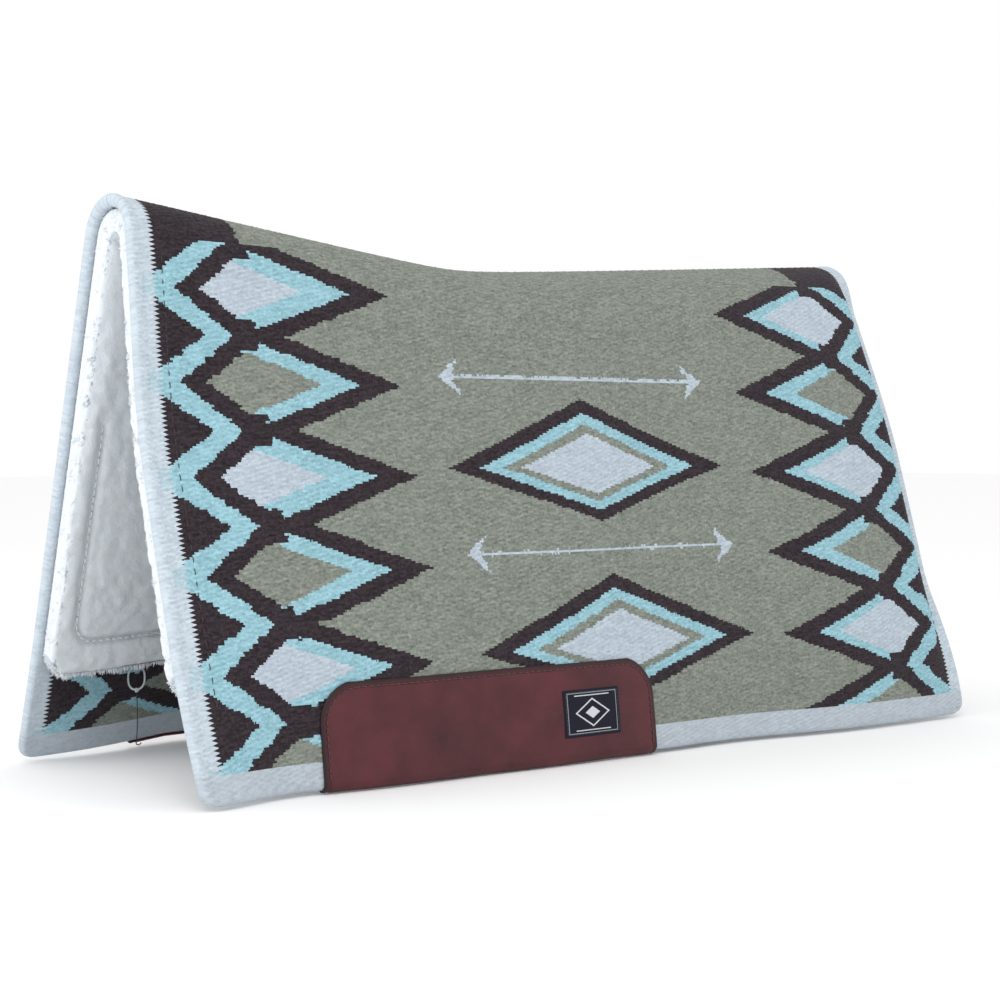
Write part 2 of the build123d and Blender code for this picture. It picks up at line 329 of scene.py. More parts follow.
def bend_with(piece, side, *nodes):
    """Bakes the piece's placement into its mesh and hides the CAD nodes it stands in for; the ends of a
    bend from the ridge to the flank are worked out, but the piece is not bent.
    """
    start = (0, 0, RIDGE_TOP - BEND_START)
    end = (0, side * BEND_REACH, RIDGE_TOP - BEND_START - BEND_DROP)
    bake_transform(piece)
    if nodes:
        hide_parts(*nodes)


def hold(piece, body, *nodes):
    """The piece rides on one body, in place of its CAD nodes."""
    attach(piece, body)
    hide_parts(*nodes)


def held_parts(name, parts, finish, body):
    """Piece made of closed parts, which rides on one body in place of the node of its own name."""
    hold(mesh_object(name, *join(parts), finish), body, name)


def rim_normals(plan):
    """Directions out of a flat grid, once round its edge."""
    columns, rows = plan.shape[:2]
    rim = plan.reshape(-1, 2)[grid_rim(columns, rows)]
    ahead = np.roll(rim, -1, axis=0) - np.roll(rim, 1, axis=0)
    return unit(np.stack([-ahead[:, 1], ahead[:, 0]], axis=1))


def close_top(normals, columns, rows):
    """Keeps the rim of the top edge, which is a seam, from swelling out."""
    normals[rows - 1] = (-1, 0)
    normals[rows:rows + columns - 2] = 0
    normals[rows + columns - 2] = (1, 0)


def round_shares(flat):
    """How far round a closed loop each of its places is."""
    steps = np.linalg.norm(np.roll(flat, -1, axis=0) - flat, axis=1)
    return np.concatenate([[0], np.cumsum(steps)[:-1]]) / steps.sum()


def rounded_corner(front, edge, radius, steps, way=1):
    """Flat places round a corner, from the front to an edge; way is 1 for a low edge, -1 for a high one."""
    return [(front + radius * (1 - math.cos(a)), edge + way * radius * (1 - math.sin(a)))
            for a in np.linspace(0, math.pi / 2, steps)]


def both_ends(half, middle):
    """An outline's front half, carried on round its rear end."""
    return half + [(2 * middle - x, rise) for x, rise in reversed(half)]


RIM_STEPS = 5


def closed_sheet(plan, back_plan, thickness, lay, seam_on_top=False):
    """Points, flat coordinates, depths and faces of a sheet with a round rim.

    The plans are grids of flat coordinates for its two faces, and lay turns flat coordinates and
    depths into points.
    """
    columns, rows = plan.shape[:2]
    rim = grid_rim(columns, rows)
    normals = rim_normals(plan)
    if seam_on_top:
        close_top(normals, columns, rows)
    flat = [plan.reshape(-1, 2)]
    depth = [np.zeros(columns * rows)]
    faces = grid_faces(columns, rows)
    last = rim
    total = columns * rows
    rim_flat = flat[0][rim]
    for step in range(1, RIM_STEPS + 1):
        angle = math.pi * step / (RIM_STEPS + 1)
        flat.append(rim_flat + normals * (thickness / 2 * math.sin(angle)))
        depth.append(np.full(len(rim), thickness / 2 * (1 - math.cos(angle))))
        ring = list(range(total, total + len(rim)))
        total += len(rim)
        for i in range(len(ring)):
            j = (i + 1) % len(ring)
            faces.append((last[i], last[j], ring[j], ring[i]))
        last = ring
    back_columns, back_rows = back_plan.shape[:2]
    back_rim = grid_rim(back_columns, back_rows, total)
    faces += [tuple(reversed(face)) for face in grid_faces(back_columns, back_rows, total)]
    back_flat = back_plan.reshape(-1, 2)
    flat.append(back_flat)
    depth.append(np.full(len(back_flat), thickness))
    outer = list(zip(last, round_shares(rim_flat)))
    inner = list(zip(back_rim, round_shares(back_flat[grid_rim(back_columns, back_rows)])))
    faces += zip_loops(outer, inner)
    flat = np.concatenate(flat)
    depth = np.concatenate(depth)
    return lay(flat, depth), flat, depth, faces


def tube(points, radius, sides=6):
    """Points and faces of a closed tube along a line; the radius may change along it."""
    points = np.asarray(points, float)
    radius = np.broadcast_to(radius, len(points))
    ahead = unit(np.gradient(points, axis=0))
    across = unit(np.cross(ahead, (0.31, 0.17, 0.93)))
    other = np.cross(ahead, across)
    around = np.linspace(0, 2 * math.pi, sides, endpoint=False)
    ring = across[:, None] * np.cos(around)[:, None] + other[:, None] * np.sin(around)[:, None]
    wall = points[:, None] + ring * radius[:, None, None]
    faces = []
    for i in range(len(points) - 1):
        for j in range(sides):
            k = (j + 1) % sides
            faces.append((i * sides + j, i * sides + k, (i + 1) * sides + k, (i + 1) * sides + j))
    faces.append(tuple(range(sides - 1, -1, -1)))
    faces.append(tuple(range((len(points) - 1) * sides, len(points) * sides)))
    return wall.reshape(-1, 3), faces


def join(parts):
    """One set of points and faces from several."""
    points = []
    faces = []
    first = 0
    for part_points, part_faces in parts:
        points.append(part_points)
        faces += [tuple(first + i for i in face) for face in part_faces]
        first += len(part_points)
    return np.concatenate(points), faces


def stitch(start, end, radius, lay):
    """One stitch between two flat places: it rises out of the cloth, crosses it and dives back in."""
    t = np.linspace(0, 1, 7)
    flat = np.asarray(start) + t[:, None] * (np.asarray(end) - np.asarray(start))
    height = radius * (1.7 * np.sin(math.pi * t) ** 0.5 - 0.9)
    return tube(lay(flat, -height), radius * (0.75 + 0.25 * np.sin(math.pi * t)))


def stitch_row(path, pitch, length, radius, lay, rng):
    """Stitches at about one pitch along a flat path, each a little out of line."""
    path = np.asarray(path, float)
    steps = np.linalg.norm(np.diff(path, axis=0), axis=1)
    along = np.concatenate([[0], np.cumsum(steps)])
    count = int(along[-1] / pitch)
    parts = []
    for i in range(count):
        middle = (i + 0.5) * along[-1] / count + rng.normal(0, pitch * 0.03)
        ends = []
        for distance in (middle - length / 2, middle + length / 2):
            here = [np.interp(distance, along, path[:, axis]) for axis in (0, 1)]
            ends.append(np.array(here) + rng.normal(0, length * 0.02, 2))
        parts.append(stitch(ends[0], ends[1], radius, lay))
    return join(parts)


def sewing(name, paths, gauge, lay, finish, seed):
    """Piece made of rows of stitches, whose gauge is their pitch, length and radius in millimetres."""
    rng = np.random.default_rng(SEED + seed)
    pitch, length, radius = np.array(gauge) * MM
    points, faces = join([stitch_row(path, pitch, length, radius, lay, rng) for path in paths])
    return mesh_object(name, points, faces, finish)


def lay_at(side, base, way=1):
    """Turns flat places and depths below a base depth into points; way is -1 on an inner face."""
    def lay(flat, depth):
        return place(flat[:, 0], flat[:, 1], base + way * depth, side)
    return lay


# ---- Materials ----
def feed(tree, entry, value):
    """Gives a node's entry a wire, another node's socket or a plain value."""
    if isinstance(value, Wire):
        value = value.socket
    if isinstance(value, bpy.types.NodeSocket):
        tree.links.new(value, entry)
    else:
        entry.default_value = value


class Wire:
    """A number on its way through a material's nodes, written about as plain arithmetic."""

    def __init__(self, tree, socket):
        self.tree = tree
        self.socket = socket

    def apply(self, operation, *others):
        node = self.tree.nodes.new("ShaderNodeMath")
        node.operation = operation
        for entry, value in zip(node.inputs, (self,) + others):
            feed(self.tree, entry, value)
        return Wire(self.tree, node.outputs[0])

    def __add__(self, other):
        return self.apply("ADD", other)

    def __sub__(self, other):
        return self.apply("SUBTRACT", other)

    def __rsub__(self, other):
        return self.apply("MULTIPLY_ADD", -1.0, other)

    def __mul__(self, other):
        return self.apply("MULTIPLY", other)

    def __lt__(self, other):
        return self.apply("LESS_THAN", other)

    def __gt__(self, other):
        return self.apply("GREATER_THAN", other)

    def least(self, other):
        return self.apply("MINIMUM", other)

    def most(self, other):
        return self.apply("MAXIMUM", other)

    def size(self):
        return self.apply("ABSOLUTE")

    def floor(self):
        return self.apply("FLOOR")


def srgb(red, green, blue):
    """Scene-linear colour from the usual 0-255 values."""
    shares = [channel / 255 for channel in (red, green, blue)]
    return (*[s / 12.92 if s <= 0.04045 else ((s + 0.055) / 1.055) ** 2.4 for s in shares], 1.0)


class Paint:
    """A material being built: its nodes, its shader and the ways in and out."""

    def __init__(self, name, roughness, sheen=0.0):
        self.material = bpy.data.materials.new(name)
        self.material.use_nodes = True
        self.tree = self.material.node_tree
        self.shader = self.tree.nodes["Principled BSDF"]
        self.set("Roughness", roughness)
        self.set("Specular IOR Level", 0.25)
        self.set("Sheen Weight", sheen)
        self.set("Sheen Roughness", 0.6)

    def node(self, kind, **entries):
        node = self.tree.nodes.new("ShaderNode" + kind)
        for name, value in entries.items():
            feed(self.tree, node.inputs[name], value)
        return node

    def stored(self):
        """The three numbers kept for every point."""
        node = self.node("Attribute")
        node.attribute_name = "cloth"
        parts = self.node("SeparateXYZ", Vector=node.outputs["Vector"])
        return [Wire(self.tree, socket) for socket in parts.outputs]

    def point(self, x, y, z=0.0):
        return self.node("CombineXYZ", X=x, Y=y, Z=z).outputs[0]

    def noise(self, place, scale, detail=2.0, roughness=0.5):
        """Noise round 0.5 over a place, or over the object when the place is None."""
        if place is None:
            place = self.node("TexCoord").outputs["Object"]
        node = self.node("TexNoise", Vector=place, Scale=scale, Detail=detail, Roughness=roughness)
        return Wire(self.tree, node.outputs["Fac"])

    def speckle(self, place):
        """A random number for each whole-numbered place."""
        return Wire(self.tree, self.node("TexWhiteNoise", Vector=place).outputs["Value"])

    def mix(self, share, first, second):
        node = self.node("Mix")
        node.data_type = "RGBA"
        node.clamp_factor = True
        for index, value in ((0, share), (6, first), (7, second)):
            feed(self.tree, node.inputs[index], value)
        return node.outputs[2]

    def scaled(self, colour, strength):
        """The colour made lighter or darker by a wire that is 1 where it stays the same."""
        node = self.node("VectorMath")
        node.operation = "SCALE"
        feed(self.tree, node.inputs["Vector"], colour)
        feed(self.tree, node.inputs["Scale"], strength)
        return node.outputs[0]

    def set(self, entry, value):
        """Sets or wires one of the shader's own entries."""
        feed(self.tree, self.shader.inputs[entry], value)

    def bump(self, height, distance, strength=1.0):
        node = self.node("Bump", Height=height, Distance=distance, Strength=strength)
        self.set("Normal", node.outputs[0])


# The woven pattern, in millimetres
PATTERN_LENGTH = LENGTH / MM
ROW_PITCH = 77.0
FIRST_ROW = 481.0  # rise of the middle of the row that the ridge cuts
END_BORDER = 19.0
HEM_BORDER = 24.0
PICK = 1.85
TOOTH = 3.7
MIDDLE_ROWS = (2.92, 4.96)
MIDDLE_RINGS = ((153.4, 54.4), (121.5, 43.4), (96.0, 34.3), (77.0, 27.0))  # half lengths and heights
ARROW_ROWS = (1.88, 3.88)
ARROW_REACH = 149.0
FIRST_EDGE = 103.5  # where the brown between the figures of neighbouring rows ends


def diamond(from_middle, from_row, half_length, half_height):
    return from_middle * (1 / half_length) + from_row * (1 / half_height) < 1.0


def uneven(from_middle):
    """Distance from a diamond's middle row, whose upper half is woven taller than its lower one."""
    return (from_middle * 1.12).most(from_middle * -0.88)


def woven_wool():
    """Hand-woven wool with stepped diamonds along both ends, two more in the middle, and arrows."""
    paint = Paint("woven_wool", 0.93, sheen=0.04)
    along, rise, bead = paint.stored()

    # Picks step the edges of the pattern, and single yarns stray over them
    pick = (rise * (1 / PICK)).floor()
    pair = (rise * (0.5 / PICK)).floor()
    stray = (paint.speckle(paint.point(pick, 3.0)) - 0.5) * 2.6
    stray = stray + (paint.speckle(paint.point(pair, 7.0)) - 0.5) * 3.4
    wander = (paint.noise(paint.point(along * 0.5, pick * 0.6), 0.45) - 0.5) * 6.0
    end = along.least(PATTERN_LENGTH - along)
    shifted = end + stray + wander
    stepped = (pick + 0.5) * PICK + (paint.noise(paint.point((along * 0.2).floor(), pick), 1.7) - 0.5) * 3.0

    row_place = (FIRST_ROW - stepped) * (1 / ROW_PITCH)
    row = row_place.apply("ROUND")
    from_row = (row_place - row).size() * ROW_PITCH
    odd_row = row.apply("PINGPONG", 1.0)
    below_ridge_row = row > 0.5
    rear_half = along > PATTERN_LENGTH / 2
    upper, lower = [uneven(row_place - number) for number in MIDDLE_ROWS]
    diamond_rows = upper.least(lower) * ROW_PITCH
    upper, lower = [(row_place - number).size() for number in ARROW_ROWS]
    arrow_rows = upper.least(lower) * ROW_PITCH
    from_middle = (along + stray * 0.8 + wander * 0.7 - PATTERN_LENGTH / 2).size()

    heather = paint.speckle(paint.point((along * 0.19 + pick * 0.5).floor(), pick))
    patches = paint.noise(paint.point(along, rise), 0.035, 3.0)
    grains = paint.noise(paint.point(along * 0.75, rise), 0.42, 3.0, 0.7)
    flecks = heather * 0.35 + patches * 0.25 + (grains - 0.5) * 2.3 + 0.2
    sage = paint.mix(flecks, srgb(100, 108, 97), srgb(148, 153, 145))
    brown = paint.mix(flecks, srgb(20, 14, 19), srgb(62, 52, 58))
    turquoise = paint.mix(flecks, srgb(122, 168, 178), srgb(163, 203, 216))
    pale = paint.mix(flecks, srgb(164, 176, 188), srgb(192, 204, 214))
    border = paint.mix(flecks, srgb(178, 190, 200), srgb(200, 211, 219))
    hem_border = paint.mix(flecks, srgb(172, 181, 190), srgb(186, 195, 203))

    colour = sage
    layers = [(diamond(from_middle, diamond_rows, *ring), yarn)
              for ring, yarn in zip(MIDDLE_RINGS, (brown, turquoise, sage, pale))]
    from_tip = ARROW_REACH - from_middle
    shaft = arrow_rows + (paint.noise(paint.point(along * 0.3, 1.0), 1.0) - 0.5) * 2.4 < 1.5
    barbs = (arrow_rows < from_tip * 0.8) * (arrow_rows > (from_tip - 12.5) * 1.9)
    layers.append((shaft * (from_tip > 0.0), pale))
    layers.append((barbs, pale))

    def within(from_end, slope, reach):
        """The ends of the rows, as far in as a zigzag."""
        return below_ridge_row * (from_end < from_row * slope + reach)

    outline = shifted + (row > 4.5) * (1.0 - rear_half) * 14.0
    inner = within(shifted, -2.6, odd_row * rear_half * 22.0 - odd_row * 10.0 + 157.0)
    layers += [
        (within(outline, -2.72, 232.7), brown),
        (within(outline, -2.74, 193.7), turquoise),
        (inner * (1.0 - odd_row), sage),
        (inner * odd_row, pale),
        (within(shifted, 1.3, 57.0), brown),
        (below_ridge_row * (from_row > 25.5) * (shifted < FIRST_EDGE), brown),
        ((1.0 - below_ridge_row) * (shifted < 96.0), brown),
        (within(shifted, 1.237, 34.7), turquoise),
        (shifted < (from_row * 1.46 + 3.5) * below_ridge_row, brown),
    ]

    # The pale border is dovetailed into the pattern, tooth by tooth
    tooth = ((rise * (1 / TOOTH)).apply("PINGPONG", 0.5) - 0.25) * 10.0
    dyed_yarn = (from_row < 9.0) * below_ridge_row
    dyed_yarn = dyed_yarn * paint.noise(paint.point(along * 0.3, rise * 0.3), 0.6)
    layers.append((end + tooth < END_BORDER, border))
    layers.append(((end < END_BORDER + 2.0) * dyed_yarn * 0.7, turquoise))
    layers.append((end < 9.0, border))
    layers.append((rise + stray * 0.3 < HEM_BORDER, hem_border))
    for share, over in layers:
        colour = paint.mix(share, colour, over)

    strands = paint.noise(paint.point(along * 0.55, rise), 1.9, 2.0)
    # Painted shade and highlight: bead * 0.10 darkens the colour in the valleys between the beads and
    # lightens their crowns; strands and heather are the yarn's own tone.
    yarn_tone_and_valley_shade = (bead * 0.10 + strands * 0.24 + 0.86) * (heather * 0.08 + 0.95)
    paint.set("Base Color", paint.scaled(colour, yarn_tone_and_valley_shade))
    paint.bump(strands * 0.6 + heather * 0.25 + bead * 0.3, 0.0007, 0.7)
    return paint.material


def fleece():
    """Dense off-white pile that clumps into short curls."""
    paint = Paint("fleece", 0.95, sheen=0.35)
    paint.set("Subsurface Weight", 0.12)
    paint.set("Subsurface Scale", 0.004)
    curls = paint.noise(None, 160.0, 4.0, 0.65)
    tufts = paint.noise(None, 60.0, 2.0)
    drifts = paint.noise(None, 12.0, 2.0)
    colour = paint.mix(curls * 0.6 + tufts * 0.4, srgb(200, 206, 211), srgb(226, 232, 238))
    colour = paint.mix(drifts * 0.35, colour, srgb(220, 222, 223))
    paint.set("Base Color", colour)
    paint.bump(curls * 0.6 + tufts * 0.5 + paint.noise(None, 480.0, 2.0) * 0.35, 0.0018, 0.6)
    return paint.material


def fleece_tips():
    """The loose curls of the pile: bright and without shine; painted lighter than the fleece, a painted
    brightness against the shade that falls on such thin curls.
    """
    paint = Paint("fleece_tips", 1.0, sheen=0.2)
    curls = paint.noise(None, 90.0, 2.0)
    paint.set("Base Color", paint.mix(curls, srgb(206, 212, 219), srgb(232, 237, 242)))
    return paint.material


def leather():
    """Smooth reddish-brown leather with fine creased grain, darker burnished edges, painted shade in its
    stitch groove and where it folds under the hem, and a soft shine.
    """
    paint = Paint("leather", 0.42)
    paint.set("Specular IOR Level", 0.32)
    edge = paint.stored()[2]
    grain = paint.noise(None, 900.0, 3.0, 0.6)
    mottle = paint.noise(None, 38.0, 4.0, 0.6)
    drift = paint.noise(None, 7.0, 2.0)
    colour = paint.mix(mottle * 1.1 + drift * 1.3 - 0.7, srgb(56, 20, 26), srgb(96, 42, 49))
    # Darker within 4.5 mm of the edges: real burnishing at the cut edges, painted shade over the strip that
    # folds under the hem.
    burnish_and_fold_shade = paint.noise(None, 55.0, 3.0) * 0.4 + (1.0 - edge * (1 / 4.5))
    colour = paint.mix(burnish_and_fold_shade.most(0.0), colour, srgb(36, 18, 22))
    # Painted shade: the colour is darkened along the stitch groove.
    groove = (edge - 5.0).size() < 0.8
    colour = paint.mix(groove * 0.55, colour, srgb(30, 15, 18))
    paint.set("Base Color", colour)
    paint.set("Roughness", mottle * 0.2 + grain * 0.12 + 0.28)
    paint.bump(grain * 0.35 + paint.noise(None, 210.0, 3.0) * 0.5, 0.00025, 0.6)
    return paint.material


def woven_label():
    """Dark satin label with an outlined diamond between two bars."""
    paint = Paint("woven_label", 0.7)
    along, rise = paint.stored()[:2]
    across = along.size()
    up = rise.size()
    ring = across * (1 / 19.0) + up * (1 / 12.5)
    outline = (ring < 1.0) * (ring > 0.88)
    centre = ring < 0.42
    bars = (up > 14.6) * (up < 15.5) * (across < 19.0)
    upright = (across > 26.2) * (across < 26.9) * (up < 17.6)
    level = (up > 17.0) * (up < 17.7) * (across < 26.9)
    motif = outline.most(centre).most(bars).most(upright.most(level) * 0.5)
    thread = paint.noise(paint.point(along, rise * 4.0), 2.2, 2.0)
    ground = paint.mix(thread, srgb(9, 11, 24), srgb(24, 27, 46))
    paint.set("Base Color", paint.mix(motif, ground, srgb(205, 208, 212)))
    ribs = (rise * 2.2).apply("PINGPONG", 0.5)
    paint.bump(ribs * 0.6 + motif * 0.8 + thread * 0.3, 0.0003, 0.8)
    return paint.material


def thread_finish(name, dark, light, roughness=0.75):
    """Twisted thread: strands wind round it and catch the light in turn."""
    paint = Paint(name, roughness, sheen=0.15)
    strands = paint.noise(None, 1400.0, 2.0)
    wear = paint.noise(None, 90.0, 2.0)
    paint.set("Base Color", paint.mix(strands * 0.7 + wear * 0.4, dark, light))
    paint.bump(strands, 0.0003, 0.7)
    return paint.material, name


WOOL = woven_wool(), "woven_wool"
FLEECE = fleece(), "fleece"
FLEECE_TIPS = fleece_tips(), "fleece"
LEATHER_SKIN = leather(), "leather"
LABEL_CLOTH = woven_label(), "woven_label"
DARK_THREAD = thread_finish("dark_thread", srgb(34, 28, 30), srgb(74, 64, 64))
QUILTING = thread_finish("quilting_thread", srgb(184, 187, 189), srgb(216, 218, 220))
LEATHER_THREAD = thread_finish("leather_thread", srgb(58, 32, 32), srgb(104, 66, 60))
LABEL_THREAD = thread_finish("label_thread", srgb(30, 34, 46), srgb(66, 72, 90))
CORD = thread_finish("white_cord", srgb(176, 194, 190), srgb(226, 232, 230))


# ---- Blanket ----
BEAD_LENGTH = 5.6 * MM
BEAD_RELIEF = 0.38 * MM
HEM_LIFT = 6.8 * MM  # keeps the round hem and the leather under it off the floor
EDGE_ROUND = BLANKET / 2
HEM_CORNER = 9 * MM
SELVEDGE = 0.9 * MM


def corner_inset(rise, radius):
    """How far a rounded corner pulls an edge in, at a rise above the flat part of the hem."""
    below = np.clip(radius - rise, 0, radius)
    return radius - np.sqrt(radius ** 2 - below ** 2)


def blanket_plan(columns, shares):
    """Flat grid over one half of the blanket: distances from the front and rises."""
    x = np.linspace(0, 1, columns)[:, None]
    ridge = ridge_rise(FRONT_X + x * LENGTH)
    rise = HEM_LIFT + shares[None, :] * (ridge - HEM_LIFT)
    inset = EDGE_ROUND + corner_inset(rise - HEM_LIFT, HEM_CORNER)
    across = FRONT_X + inset + x * (LENGTH - 2 * inset)
    rise = HEM_LIFT + shares[None, :] * (ridge_rise(across) - HEM_LIFT)
    return np.stack([across, rise], axis=-1)


def edge_relief(flat):
    """The front and rear edges end in a thick selvedge, with a shallow groove beside it."""
    from_end = np.minimum(flat[:, 0] - FRONT_X, REAR_X - flat[:, 0])
    return SELVEDGE * (hump(from_end, 4 * MM, 4 * MM) - hump(from_end, 10.5 * MM, 2 * MM))


def blanket(side):
    columns = 2 * round(LENGTH / BEAD_LENGTH)
    rows = round(ridge_rise(0) / (PICK * MM))
    plan = blanket_plan(columns, np.linspace(0, 1, rows))
    beads = np.cos(math.pi / 2 * np.arange(columns))[:, None] * np.where(np.arange(rows) % 2, 1, -1)
    rng = np.random.default_rng(SEED)
    beads = beads * rng.uniform(0.6, 1.2, beads.shape) + rng.normal(0, 0.25, beads.shape)
    fine = np.arange(0, 0.19, 2 * PICK * MM / ridge_rise(0))
    back_plan = blanket_plan(columns // 2, np.concatenate([fine, np.linspace(fine[-1] + 0.03, 1, 24)]))

    def bead_at(flat):
        return np.concatenate([beads.ravel(), np.zeros(len(flat) - beads.size)])

    def lay(flat, depth):
        relief = (bead_at(flat) * BEAD_RELIEF + edge_relief(flat)) * np.where(depth < BLANKET / 2, 1, -1)
        return place(flat[:, 0], flat[:, 1], depth - relief, side)

    points, flat, depth, faces = closed_sheet(plan, back_plan, BLANKET, lay, seam_on_top=True)
    name = side_name(side)
    piece = mesh_object("blanket_" + name, points, faces, WOOL, side == RIGHT)
    along = flat[:, 0] - FRONT_X
    store(piece, np.stack([along / MM, flat[:, 1] / MM, bead_at(flat)], axis=1))
    bend_with(piece, side, name + "_blanket", name + "_core", "ridge_blanket", "ridge_core")


# ---- Fleece liner ----
LINER_INSET = 6 * MM
LINER_RISE = 84 * MM
LINER_CORNER = 18 * MM
SLAB_TOP = 480 * MM  # the slab is puffed up flat, with its top edge straight
SLAB_SPARE = 14 * MM  # above it, cut off after puffing
VOXEL = 5.5 * MM
PUFF_CAP = 4.5 * MM
PUFF_FRAMES = 20
QUILTING_END_INSET = 18 * MM
QUILTING_LOW_INSET = 30 * MM
QUILTING_TOP = 300 * MM
PILE = 1.3 * MM
CHANNEL = 3.4 * MM
CHANNEL_DEPTH = 4 * MM
PUFF_HEIGHT = 3.4 * MM  # of the swollen face above the slab's, beside the channel


def rounded_box_distance(flat, low, high, radius):
    """Distance outside a rounded box; negative inside it."""
    middle = (np.asarray(low) + high) / 2
    half = (np.asarray(high) - low) / 2 - radius
    over = np.abs(flat - middle) - half
    outside = np.linalg.norm(np.clip(over, 0, None), axis=1)
    return outside + np.clip(over.max(axis=1), None, 0) - radius


def from_channel(flat):
    """Distance from the quilted channel, in flat places."""
    inset = LINER_INSET + QUILTING_END_INSET
    low = (FRONT_X + inset, LINER_RISE + QUILTING_LOW_INSET)
    high = (REAR_X - inset, 2 * SLAB_TOP)
    distance = np.abs(rounded_box_distance(flat, low, high, LINER_CORNER))
    return np.hypot(distance, np.clip(flat[:, 1] - QUILTING_TOP, 0, None))


def slab():
    """Flat slab of the liner's size as (x, depth, rise), remeshed evenly."""
    front = FRONT_X + LINER_INSET
    rear = REAR_X - LINER_INSET
    low = both_ends(rounded_corner(front, LINER_RISE, LINER_CORNER, 8), MIDDLE_X)
    top = SLAB_TOP + SLAB_SPARE
    outline = low + [(rear, top), (front, top)]
    count = len(outline)
    points = [(x, depth, rise) for depth in (LINER_DEPTH, INNER_DEPTH) for x, rise in outline]
    faces = [tuple(range(count)), tuple(range(2 * count - 1, count - 1, -1))]
    faces += [(i, i + count, (i + 1) % count + count, (i + 1) % count) for i in range(count)]
    piece = new_object("slab", new_mesh("slab", points, faces))
    remesh = piece.modifiers.new("even", "REMESH")
    remesh.mode = "VOXEL"
    remesh.voxel_size = VOXEL
    bake_modifiers(piece)
    return piece


def bake_modifiers(piece):
    """Makes the modified mesh the piece's own."""
    graph = bpy.context.evaluated_depsgraph_get()
    mesh = bpy.data.meshes.new_from_object(piece.evaluated_get(graph))
    piece.modifiers.clear()
    piece.data = mesh


def read_triples(items, key):
    triples = np.empty(len(items) * 3, dtype=np.float32)
    items.foreach_get(key, triples)
    return triples.reshape(-1, 3).astype(float)


def set_vertices(piece, points):
    piece.data.vertices.foreach_set("co", np.asarray(points, dtype=np.float32).ravel())
    piece.data.update()


def puff(piece):
    """Cloth under pressure: the inner face swells between its sewn channel and its fixed back."""
    rest = read_triples(piece.data.vertices, "co")
    sewn = from_channel(rest[:, [0, 2]]) < CHANNEL
    fixed = sewn | (rest[:, 1] < LINER_DEPTH + 5 * MM) | (rest[:, 2] > SLAB_TOP - 9 * MM)
    pins = piece.vertex_groups.new(name="sewn")
    pins.add([int(i) for i in np.flatnonzero(fixed)], 1.0, "REPLACE")
    cloth = piece.modifiers.new("puff", "CLOTH")
    fabric = cloth.settings
    fabric.quality = 4
    fabric.mass = 0.2
    fabric.vertex_group_mass = "sewn"
    fabric.use_pressure = True
    fabric.uniform_pressure_force = 4.0
    fabric.effector_weights.gravity = 0.0
    fabric.tension_stiffness = 12
    fabric.shear_stiffness = 6
    fabric.bending_stiffness = 0.8
    cloth.point_cache.frame_start = 1
    cloth.point_cache.frame_end = PUFF_FRAMES
    scene = bpy.context.scene
    for number in range(1, PUFF_FRAMES + 1):
        scene.frame_set(number)
    bake_modifiers(piece)
    scene.frame_set(1)
    moved = read_triples(piece.data.vertices, "co") - rest
    length = np.linalg.norm(moved, axis=1, keepdims=True) + 1e-9
    capped = PUFF_CAP * np.tanh(length / PUFF_CAP)
    set_vertices(piece, rest + moved / length * capped)


def subdivide(piece):
    finer = piece.modifiers.new("finer", "SUBSURF")
    finer.levels = 1
    bake_modifiers(piece)


def lumps(points, size, seed):
    """Smooth noise round 0 with lumps of one size."""
    offset = Vector((seed * 13.7, seed * 5.1, seed * 9.3))
    return np.array([noise.noise(Vector(p) / size + offset) for p in points])


def fleece_slab():
    """The flat liner after quilting: puffed, channelled and covered in pile."""
    piece = slab()
    puff(piece)
    subdivide(piece)
    points = read_triples(piece.data.vertices, "co")
    normals = read_triples(piece.data.vertex_normals, "vector")
    near_ridge = smooth((SLAB_TOP - points[:, 2]) / (50 * MM))
    inner = smooth((points[:, 1] - LINER_DEPTH - 4 * MM) / (6 * MM))
    channel = hump(from_channel(points[:, [0, 2]]), 0, CHANNEL) * inner
    pile = PILE * (lumps(points, 11 * MM, 1) + lumps(points, 5 * MM, 2))
    points += normals * ((pile * inner * (0.3 + 0.7 * near_ridge)) * (1 - 0.6 * channel))[:, None]
    points[:, 1] -= CHANNEL_DEPTH * channel
    points[:, 2] = np.minimum(points[:, 2], SLAB_TOP)
    return piece, points


def on_ridge(x, rise):
    """Rises in the flat slab, stretched so that its top edge lies along the ridge."""
    upper = np.clip(rise - QUILTING_TOP, 0, None) / (SLAB_TOP - QUILTING_TOP)
    return rise + np.minimum(upper, 1) * (ridge_rise(x) - SLAB_TOP)


def liner(side, flat_piece, points):
    name = side_name(side)
    piece = new_object("liner_" + name, flat_piece.data.copy())
    if side == RIGHT:
        piece.data.flip_normals()
    x, depth, rise = points.T
    rise = on_ridge(x, rise)
    radius = ridge_radius(x)
    depth = np.where(rise > flat_rise(x) - 30 * MM, np.minimum(depth, radius - 2 * MM), depth)
    set_vertices(piece, place(x, rise, depth, side))
    finish_surface(piece, FLEECE)
    bend_with(piece, side, name + "_liner", "ridge_liner")


TUFT_LENGTH = 7 * MM
TUFT_WIDTH = 1.1 * MM
TUFTS_ON_RIM = 9000


